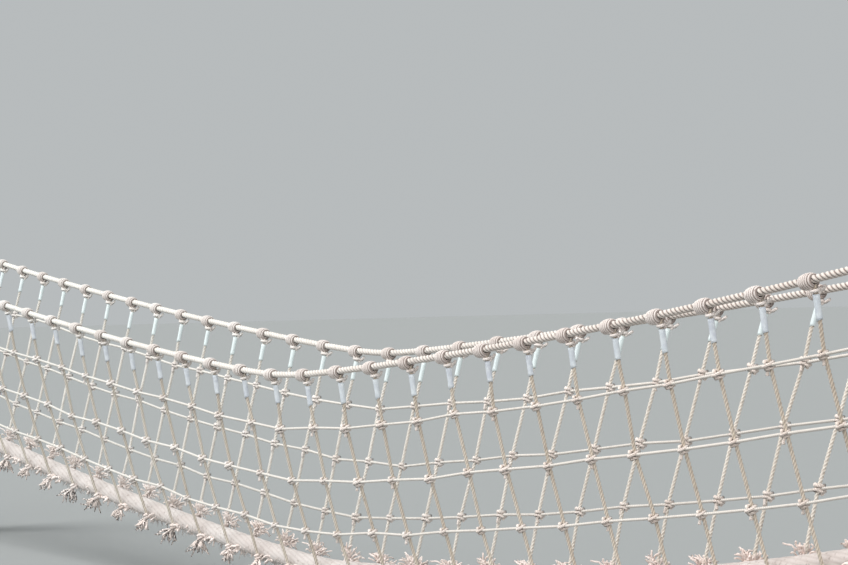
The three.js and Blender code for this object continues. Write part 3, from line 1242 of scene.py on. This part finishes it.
@dataclass(frozen=True)
class Knot:
    """The round lump that ties a line to a hanger along X: two turns, one over them, a loose end."""

    turns: Coil = Coil(radius=0.0158, pitch=0.0146, turns=2.1, start=math.pi * 0.6, per_turn=8)
    cord: LaidRope = LaidRope(radius=0.0078, lay=CORD_LAY, corners=6)
    step: float = 0.0130
    over_radius: float = 0.0185
    over_swell: float = 0.0045
    over_half: float = 0.012
    over_points: int = 9
    over_step: float = 0.0115
    end_cord: LaidRope = LaidRope(radius=0.0068, lay=CORD_LAY, corners=6)
    end_route: tuple[Point, ...] = ((0, 0, 0), (0.006, 0, -0.012), (0.007, 0, -0.027))
    end_taper: Taper = (1.0, 0.9, 1.2)
    end_step: float = 0.007

    def skin(self) -> Skin:
        """Makes the knot.

        Returns:
            The knot without its loose end.
        """
        angle = np.linspace(math.radians(-30), math.radians(210), self.over_points)
        swell = np.sin(np.linspace(0, math.pi, self.over_points))
        radius = self.over_radius + self.over_swell * swell
        along = np.linspace(-self.over_half, self.over_half, self.over_points)
        across = np.stack([along, radius * np.cos(angle), radius * np.sin(angle)], axis=1)
        under = self.cord.skin(self.turns.points(), step=self.step)
        return Skin.joined([under, self.cord.skin(across, step=self.over_step)])

    def loose_end(self) -> Skin:
        """Makes the short frayed end that hangs from the knot."""
        return self.end_cord.skin(smooth_route(self.end_route, 3), self.end_taper, step=self.end_step)


@dataclass
class NetSide:
    """One side's net: hangers, three long lines, and what ties them to each other and the rails."""

    side: Side
    shares: tuple[float, ...] = (0.269, 0.526, 0.785)
    stray: Range = (0.007, 0.006)
    slope: float = 0.23
    hanger: LaidRope = LaidRope(radius=0.0092, lay=HANGER_LAY, strands=3, corners=3, rings=6, groove=0.24)
    line: LaidRope = LaidRope(radius=0.0074, lay=LINE_LAY, strands=3, corners=2, rings=6, groove=0.2)
    turn: LaidRope = LaidRope(radius=0.0084, lay=TURN_LAY, strands=3, corners=3, rings=9, groove=0.15)
    foot_turns: Coil = Coil(radius=0.0150, pitch=0.0150, turns=1.9, per_turn=9)
    hitch: Hitch = Hitch()
    collar: Collar = Collar()
    knot: Knot = Knot()
    sleeve: Sleeve = Sleeve()
    brush: Tuft = Tuft(60, 0.04, 1.3, 0.034, 0.14, LaidRope(radius=0.0038, lay=YARN_LAY, corners=3))
    wisp: Tuft = Tuft(9, 0.045, 0.9)
    mop_lengths: tuple[float, ...] = (0.08, 0.07, 0.075, 0.085)
    hitch_shift: float = -0.035
    hitch_drop: float = 0.005
    hitch_roll: float = 0.2
    hanger_start: float = 0.02
    line_out: float = 0.006
    line_turns: float = 1.6
    line_pitch: float = 0.015
    knot_out: float = 0.003
    knot_sizes: Range = (0.9, 1.15)
    loose_end_share: float = 0.7
    loose_end_along: float = 0.014
    loose_end_in: float = 0.01
    wisp_drop: float = 0.043
    sleeve_share: float = 0.153
    sleeve_tops: Range = (0.052, 0.062)
    sleeve_turns: Range = (-0.6, 0.6)
    sleeve_girths: Range = (0.95, 1.1)
    sleeve_lengths: Range = (0.88, 1.06)
    sleeve_shades: Range = (0.0, 0.25)
    back_sleeve_girth: float = 0.86
    back_sleeve_bleach: float = 0.7
    seed: int = 20
    places: np.ndarray = field(init=False)
    tops: np.ndarray = field(init=False)
    wander: np.ndarray = field(init=False)
    rng: np.random.Generator = field(init=False)

    def __post_init__(self) -> None:
        """Sets out the hangers and how far each crossing strays from its place."""
        self.rng = np.random.default_rng(self.seed + self.side.value)
        self.places = SPAN.hanger_places(self.side)
        self.tops = SPAN.rail(SPAN.hitch_places(self.side), self.side)
        self.wander = self.rng.normal(0, 1, (len(self.places), len(self.shares), 2)) * self.stray

    @property
    def outward(self) -> np.ndarray:
        """Direction square to the net, away from the walkway."""
        return unit(np.array([0.0, self.side.value, -self.slope]))

    def crossing(self, index: int, line: int) -> np.ndarray:
        """The point where a line crosses a hanger."""
        stray = self.wander[index, line]
        return self.on_hanger(index, self.shares[line]) + (stray[0], 0, stray[1])

    def on_hanger(self, index: int, share: float) -> np.ndarray:
        """Finds a point of a hanger.

        Args:
            index: The hanger's number.
            share: Share of the hanger's length from its top.

        Returns:
            The point.
        """
        rail, seat = self.tops[index], SPAN.seat(self.places[index], self.side)
        seat[2] += SPAN.dip(self.places[index])
        return rail + (seat - rail) * share + SPAN.bow(share, self.side)

    def down(self, index: int) -> np.ndarray:
        """The direction of a hanger where it leaves the handrail."""
        return unit(self.on_hanger(index, self.sleeve_share) - self.tops[index])

    def hanger_route(self, index: int) -> np.ndarray:
        """Follows a hanger from inside its hitch to its end at the foot rope.

        Args:
            index: The hanger's number.

        Returns:
            Points of its centre line.
        """
        seat = SPAN.seat(self.places[index], self.side)
        crossings = [self.crossing(index, line) for line in range(len(self.shares))]
        start = self.tops[index] + self.down(index) * self.hanger_start
        sleeve_end = self.on_hanger(index, self.sleeve_share)
        return np.stack([start, sleeve_end, *crossings, seat])

    def line_route(self, line: int) -> np.ndarray:
        """Follows a long line, with its turns round the post at each end.

        Args:
            line: The line's number from the top.

        Returns:
            Points of its centre line.
        """
        off = self.outward * self.line_out
        free = np.stack([self.crossing(i, line) + off for i in range(len(self.places))])
        drop = SPAN.hand_height * self.shares[line]
        return tied_to_posts(free, self.side, self.line.radius, self.line_turns, self.line_pitch, drop)

    def hangers(self) -> list[Skin]:
        """The hangers."""
        tints = self.rng.uniform(0, 1, len(self.places))
        return [self.hanger.skin(self.hanger_route(i), tint=tints[i]) for i in range(len(self.places))]

    def lines(self) -> list[Skin]:
        """The long lines."""
        return [self.line.skin(self.line_route(line), tint=0.8) for line in range(len(self.shares))]

    def hitches(self) -> list[Skin]:
        """Makes the hitches on the handrail, with the collars under them.

        Returns:
            A hitch and a collar for each hanger.
        """
        hitch, collar = self.hitch.skin(), self.collar.skin()
        skins = []
        for index, top in enumerate(self.tops):
            rail = SPAN.rail(top[0] + self.hitch_shift, self.side)
            along = SPAN.rail(top[0] + self.hitch_shift + 0.01, self.side) - rail
            rail[2] -= self.hitch_drop
            roll = self.rng.normal(0, self.hitch_roll)
            turn = np.eye(4)
            turn[1:3, 1:3] = [[math.cos(roll), -math.sin(roll)], [math.sin(roll), math.cos(roll)]]
            shade = self.rng.uniform(0, 1)
            skins.append(hitch.placed(place_matrix(rail, along, UP) @ turn, shade))
            down = self.down(index)
            skins.append(collar.placed(place_matrix(top, np.cross(ACROSS, -down), -down), shade))
        return skins

    def knots(self) -> list[Skin]:
        """Makes the knots of the lines, with the short ends at most of them.

        Returns:
            The knots and the ends.
        """
        knot, loose_end = self.knot.skin(), self.knot.loose_end()
        skins = []
        for index in range(len(self.places)):
            route = self.hanger_route(index)
            for line in range(len(self.shares)):
                along = unit(route[line + 3] - route[line + 1])
                at = self.crossing(index, line) + self.outward * self.knot_out
                shade = self.rng.uniform(0, 1)
                size = self.rng.uniform(*self.knot_sizes)
                matrix = place_matrix(at, along, self.outward) @ np.diag([size, size, size, 1])
                skins.append(knot.placed(matrix, shade))
                if self.rng.uniform() < self.loose_end_share:
                    bearing = np.array([self.rng.normal(0, 1), self.rng.normal(0, 1), 0.0])
                    inward = self.outward * self.loose_end_in * self.side.value
                    below = at + along * self.loose_end_along - inward
                    skins.append(loose_end.placed(place_matrix(below, bearing, UP), shade))
        return skins

    def tufts(self) -> list[Skin]:
        """Makes the lumps and frayed tufts where the hangers end, and wisps beside them.

        Returns:
            The lumps, tufts and wisps.
        """
        mops = [Tuft(length=length).skin(self.rng) for length in self.mop_lengths]
        brushes = [self.brush.skin(self.rng) for _ in range(4)]
        wisps = [self.wisp.skin(self.rng) for _ in range(3)]
        lump = self.turn.skin(self.foot_turns.points())
        skins = []
        for index, x in enumerate(self.places):
            route = self.hanger_route(index)
            end = route[-1]
            shade = self.rng.uniform(0, 1)
            skins.append(lump.placed(place_matrix(end, unit(end - route[-2]), self.outward), shade))
            if self.side is Side.FRONT:
                skins.append(self.hung_tuft(mops[index % 4], end))
            else:
                skins += self.raised_tuft(brushes[index % 4], end)
            for wisp in wisps[: self.rng.integers(1, 3)]:
                low = unit(np.array([self.rng.normal(0.2, 0.6), self.side.value * 0.8, -0.55]))
                beside = SPAN.foot(x + self.rng.normal(0.09, 0.06)) + low * self.wisp_drop
                skins.append(wisp.placed(place_matrix(beside, np.cross(low, [1.0, 0, 0]), -low)))
        return skins

    def hung_tuft(self, tuft: Skin, end: np.ndarray) -> Skin:
        """The tuft that hangs from a front hanger's end."""
        lie = unit(np.array([self.rng.normal(-0.15, 0.4), -0.4, -1.0]))
        return tuft.placed(place_matrix(end + lie * 0.02, np.cross(lie, ACROSS), -lie))

    def raised_tuft(self, tuft: Skin, end: np.ndarray) -> list[Skin]:
        """Leads a back hanger's end on over the foot rope to its tuft, upright and fuller at the right.

        Args:
            tuft: The tuft.
            end: Where the hanger ends.

        Returns:
            The rope that leads on, and the tuft.
        """
        right = float(np.clip(end[0] / 1.5 + 0.5, 0, 1))
        lie = unit(np.array([self.rng.normal(0.85 - 0.45 * right, 0.2), 0.1, self.rng.normal(0.6, 0.2)]))
        root = end + lie * (self.rng.uniform(0.035, 0.055) - 0.035 * right)
        lead = self.turn.skin(smooth_route([end, (end + root) / 2 + (0, 0.004, 0.006), root], 4))
        size = 1.1 + 0.3 * right
        fuller = np.diag([size, size, 1.1, 1])
        return [lead, tuft.placed(place_matrix(root, np.cross(lie, ACROSS), -lie) @ fuller)]

    def sleeves(self) -> list[Skin]:
        """Makes the plastic sleeves under the hitches, narrower and bleached on the back.

        Returns:
            A sleeve for each hanger.
        """
        sleeve = self.sleeve.skin()
        front = self.side is Side.FRONT
        girth, bleach = (1.0, 0.0) if front else (self.back_sleeve_girth, self.back_sleeve_bleach)
        skins = []
        for index, rail in enumerate(self.tops):
            down = self.down(index)
            bearing = self.rng.uniform(*self.sleeve_turns)
            side_on = np.array([math.cos(bearing), math.sin(bearing), 0.0])
            top = rail + down * self.rng.uniform(*self.sleeve_tops)
            across = np.cross(side_on, down)
            wide = girth * self.rng.uniform(*self.sleeve_girths)
            size = np.diag([wide, girth, self.rng.uniform(*self.sleeve_lengths), 1])
            shade = self.rng.uniform(*self.sleeve_shades) + bleach
            skins.append(sleeve.placed(place_matrix(top, np.cross(across, -down), -down) @ size, shade))
        return skins

    def build(self, materials: dict[str, bpy.types.Material]) -> None:
        """Makes all of the side's pieces.

        Args:
            materials: Material of each kind of piece.
        """
        nodes = [f"{self.side.word}_net_{i}" for i in range(1, 8)]
        makers = (self.hangers, self.lines, self.hitches, self.knots, self.tufts, self.sleeves)
        for maker in makers:
            kind = maker.__name__
            piece = Skin.joined(maker()).build(f"{self.side.word}_{kind}")
            dress(piece, materials[kind], nodes)


@dataclass
class Log:
    """A round log, sawn and chamfered at both ends, a little uneven along its length."""

    name: str
    start: Vector
    finish: Vector
    radius: float
    grain: Grain
    chamfer: float = 0.007
    uneven: float = 0.0024
    unevenness_width: float = 0.16
    end_depth: float = 0.005
    end_facing: float = 0.9
    sides: int = 40
    rings: int = 40

    def model(self) -> bpy.types.Object:
        """Models the log.

        Returns:
            Its object, in object mode.
        """
        axis = self.finish - self.start
        turn = (math.pi / 2, 0, 0) if self.grain is Grain.ACROSS else (0, 0, 0)
        bpy.ops.object.select_all(action="DESELECT")
        bpy.ops.mesh.primitive_cylinder_add(
            vertices=self.sides, radius=self.radius, depth=axis.length,
            location=(self.start + self.finish) / 2, rotation=turn,
        )
        log = bpy.context.object
        log.name = self.name
        bpy.ops.object.transform_apply(location=True, rotation=True, scale=True)
        bpy.ops.object.mode_set(mode="EDIT")
        for cut in range(1, self.rings):
            middle = self.start.lerp(self.finish, cut / self.rings)
            bpy.ops.mesh.select_all(action="SELECT")
            bpy.ops.mesh.bisect(plane_co=middle, plane_no=axis.normalized())
        bpy.ops.object.mode_set(mode="OBJECT")
        self._select_rims(log)
        bpy.ops.object.mode_set(mode="EDIT")
        bpy.ops.mesh.bevel(offset=self.chamfer, segments=3)
        bpy.ops.object.mode_set(mode="OBJECT")
        texture = bpy.data.textures.new(f"{self.name}_uneven", "CLOUDS")
        texture.noise_scale = self.unevenness_width
        push = log.modifiers.new("uneven", "DISPLACE")
        push.texture = texture
        push.texture_coords = "LOCAL"
        push.mid_level = 1.0
        push.strength = self.uneven
        bpy.ops.object.modifier_apply(modifier=push.name)
        return log

    def _select_rims(self, log: bpy.types.Object) -> None:
        """Selects the sharp edges round the two ends.

        Args:
            log: The log in object mode.
        """
        mesh = log.data
        mesh.vertices.foreach_set("select", [False] * len(mesh.vertices))
        mesh.polygons.foreach_set("select", [False] * len(mesh.polygons))
        axis = self.grain.value
        limits = (self.start[axis], self.finish[axis])
        for edge in mesh.edges:
            places = [mesh.vertices[v].co[axis] for v in edge.vertices]
            edge.select = any(all(abs(p - limit) < 1e-5 for p in places) for limit in limits)
        bpy.context.tool_settings.mesh_select_mode = (False, True, False)

    def end_faces(self, log: bpy.types.Object) -> None:
        """Gives the sawn ends the second material.

        Args:
            log: The finished log.
        """
        axis = self.grain.value
        for polygon in log.data.polygons:
            off_end = min(abs(polygon.center[axis] - c) for c in (self.start[axis], self.finish[axis]))
            if off_end < self.end_depth and abs(polygon.normal[axis]) > self.end_facing:
                polygon.material_index = 1


@dataclass
class EndFrame:
    """Two round posts and a sill log that the foot rope pulls into their notches."""

    end: End
    post_over_rail: float = 0.13
    sill_half: float = 0.543
    cutter_sides: int = 48
    cutter_length: float = 1.2
    smooth_angle: float = 35

    def cut_notch(self, post: bpy.types.Object) -> None:
        """Cuts the sill log's notch into a post.

        Args:
            post: The post.
        """
        bpy.ops.object.select_all(action="DESELECT")
        bpy.ops.mesh.primitive_cylinder_add(
            vertices=self.cutter_sides, radius=SILL_RADIUS + CONTACT_GAP, depth=self.cutter_length,
            location=(self.end.value * SILL_X, 0, SILL_Z), rotation=(math.pi / 2, 0, 0),
        )
        cutter = bpy.context.object
        bpy.context.view_layer.objects.active = post
        cut = post.modifiers.new("notch", "BOOLEAN")
        cut.object = cutter
        cut.operation = "DIFFERENCE"
        cut.solver = "EXACT"
        bpy.ops.object.modifier_apply(modifier=cut.name)
        bpy.data.objects.remove(cutter)

    def build(self, post_material: bpy.types.Material, sill_material: bpy.types.Material) -> None:
        """Makes the posts and the sill log.

        Args:
            post_material: Material of the posts' sides.
            sill_material: Material of the sill log's side.
        """
        top = float(SPAN.rail(SPAN.half, Side.BACK)[2]) + self.post_over_rail
        for side in Side:
            name = f"{self.end.word}_{side.word}_post"
            foot = Vector((self.end.value * SPAN.half, side.value * SPAN.rail_half_end, 0.0))
            log = Log(f"{name}_log", foot, Vector((foot.x, foot.y, top)), POST_RADIUS, Grain.UP)
            post = log.model()
            self.cut_notch(post)
            self.finish_log(log, post, post_material, name)
        name = f"{self.end.word}_sill_log"
        x = self.end.value * SILL_X
        front, back = Vector((x, -self.sill_half, SILL_Z)), Vector((x, self.sill_half, SILL_Z))
        log = Log(f"{name}_log", front, back, SILL_RADIUS, Grain.ACROSS, rings=22)
        self.finish_log(log, log.model(), sill_material, name)

    def finish_log(self, log: Log, made: bpy.types.Object, side: bpy.types.Material, node: str) -> None:
        """Shades and dresses a log.

        Args:
            log: The log's description.
            made: Its object.
            side: Material of its side.
            node: The CAD node that it stands for.
        """
        bpy.ops.object.select_all(action="DESELECT")
        made.select_set(True)
        bpy.context.view_layer.objects.active = made
        bpy.ops.object.shade_smooth_by_angle(angle=math.radians(self.smooth_angle))
        dress(made, side, [node])
        centre = tuple(log.start.lerp(log.finish, 0.5))
        made.data.materials.append(EndGrainFinish(f"{node}_end_grain", centre, log.grain).make())
        log.end_faces(made)


@dataclass(frozen=True)
class Lamp:
    """A broad light from far away."""

    name: str
    turn: tuple[float, float, float]
    energy: float
    angle: float


@dataclass
class Studio:
    """Floor, light and the camera at the photograph's viewing angle."""

    floor_size: float = 160
    room_colour: Colour = (0.62, 0.65, 0.66)
    room_strength: float = 0.77
    key: Lamp = Lamp("key", (0.55, -0.2, 0.0), 3.4, 0.7)
    fill: Lamp = Lamp("fill", (1.3, 0.0, 1.1), 2.0, 1.0)
    camera_place: tuple[float, float, float] = (14.2103, -7.3397, 1.7731)
    yaw: float = -1.0635
    pitch: float = -0.0054
    roll: float = -0.0162
    focal_pixels: float = 3125.0
    image_width: float = 848.0
    sensor: float = 36.0

    def build(self) -> None:
        """Makes the studio."""
        self._floor()
        self._light()
        self._camera()

    def _floor(self) -> None:
        """Lays the floor."""
        bpy.ops.object.select_all(action="DESELECT")
        bpy.ops.mesh.primitive_plane_add(size=self.floor_size, location=(0, 0, 0))
        floor = bpy.context.object
        floor.name = "studio_floor"
        floor.data.materials.append(FloorFinish().make())

    def _light(self) -> None:
        """Hangs the lamps and lights the room evenly."""
        world = bpy.data.worlds.new("studio_room")
        world.use_nodes = True
        room = world.node_tree.nodes["Background"]
        room.inputs["Color"].default_value = (*self.room_colour, 1)
        room.inputs["Strength"].default_value = self.room_strength
        bpy.context.scene.world = world
        for lamp in (self.key, self.fill):
            light = bpy.data.lights.new(lamp.name, "SUN")
            light.energy = lamp.energy
            light.angle = lamp.angle
            holder = bpy.data.objects.new(lamp.name, light)
            holder.rotation_euler = lamp.turn
            bpy.context.collection.objects.link(holder)

    def _camera(self) -> None:
        """Sets up the camera."""
        lens = bpy.data.cameras.new("photo_view")
        lens.sensor_width = self.sensor
        lens.sensor_fit = "HORIZONTAL"
        lens.lens = self.focal_pixels * self.sensor / self.image_width
        lens.clip_end = 300
        flat = math.cos(self.pitch)
        forward = Vector((math.sin(self.yaw) * flat, math.cos(self.yaw) * flat, math.sin(self.pitch)))
        level = Vector((math.cos(self.yaw), -math.sin(self.yaw), 0))
        above = level.cross(forward)
        right = level * math.cos(self.roll) + above * math.sin(self.roll)
        up = above * math.cos(self.roll) - level * math.sin(self.roll)
        matrix = Matrix((right, up, -forward)).transposed().to_4x4()
        matrix.translation = self.camera_place
        camera = bpy.data.objects.new("photo_view", lens)
        camera.matrix_world = matrix
        bpy.context.collection.objects.link(camera)
        bpy.context.scene.camera = camera


def main() -> None:
    """Builds the bridge's looks and the studio."""
    logging.basicConfig(level=logging.INFO, format="%(message)s")
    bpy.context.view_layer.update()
    bpy.context.scene.view_settings.view_transform = "Standard"
    Studio().build()
    rail = RAIL_FIBRE.make()
    tuft = TUFT_FIBRE.make()
    net = {
        "lines": LINE_FIBRE.make(),
        "hitches": HITCH_FIBRE.make(),
        "knots": KNOT_FIBRE.make(),
        "tufts": tuft,
        "sleeves": SleeveFinish().make(),
    }
    FootRope().build(FOOT_FIBRE.make(), tuft)
    for side in Side:
        Handrail(side).build(rail)
        NetSide(side).build({"hangers": HANGER_FIBRES[side].make(), **net})
    posts = TimberFinish("post_timber", Grain.UP).make()
    sills = TimberFinish("sill_timber", Grain.ACROSS).make()
    for end in End:
        EndFrame(end).build(posts, sills)


if __name__ == "__main__":
    main()
